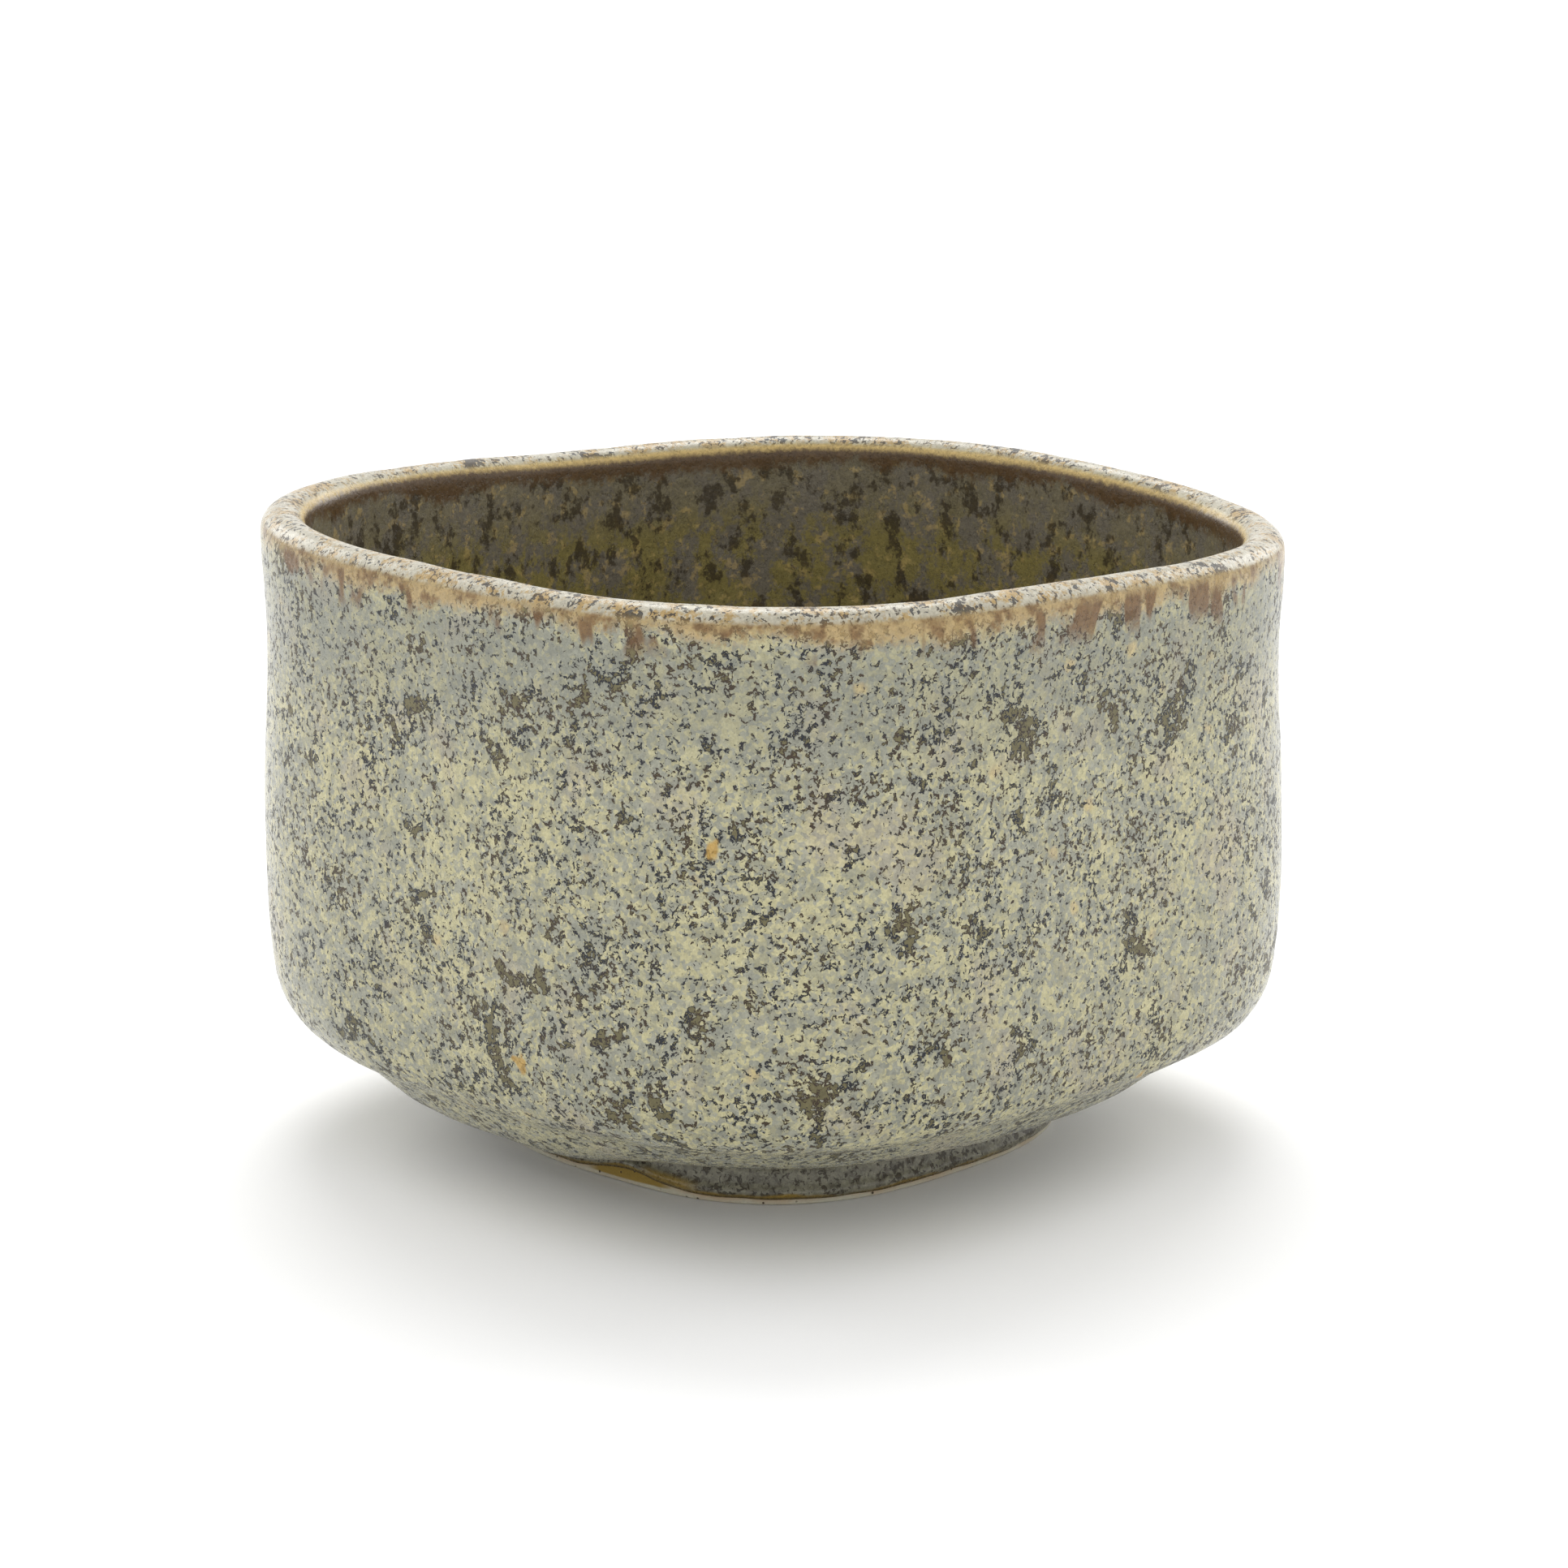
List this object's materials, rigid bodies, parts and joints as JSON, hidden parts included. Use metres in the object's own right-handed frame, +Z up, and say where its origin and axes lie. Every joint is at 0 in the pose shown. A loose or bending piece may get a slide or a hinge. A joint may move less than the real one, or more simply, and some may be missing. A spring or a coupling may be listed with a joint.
{
  "type": "matcha bowl",
  "caption": "Squared stoneware tea bowl on a low squared foot ring, with mottled cream and grey glaze and a brown lip.",
  "frame": {"origin": "centre of the foot ring's contact plane, on the table", "axes": "+Z up along the bowl's height; the four flat sides face +X, -X, +Y and -Y, and the rounded corners lie on the diagonals"},
  "size_m": [0.1064, 0.1064, 0.0748],
  "materials": {
    "stoneware": "fired stoneware clay under the glaze",
    "foot_clay": "bare fired clay, pale and slightly sandy",
    "outer_glaze": "glossy mottled cream and blue-grey glaze with dark fissures",
    "lip_glaze": "glossy glaze thinned to iron brown on the lip",
    "inner_glaze": "glossy mottled olive and grey-brown glaze",
    "foot_well_glaze": "thin glossy mottled glaze inside the foot ring"
  },
  "bodies": {
    "root": {"clay_body": "stoneware", "foot_ring": "foot_clay", "outer_glaze": "outer_glaze", "lip_glaze": "lip_glaze", "inner_glaze": "inner_glaze", "foot_well_glaze": "foot_well_glaze"}
  },
  "joints": []
}
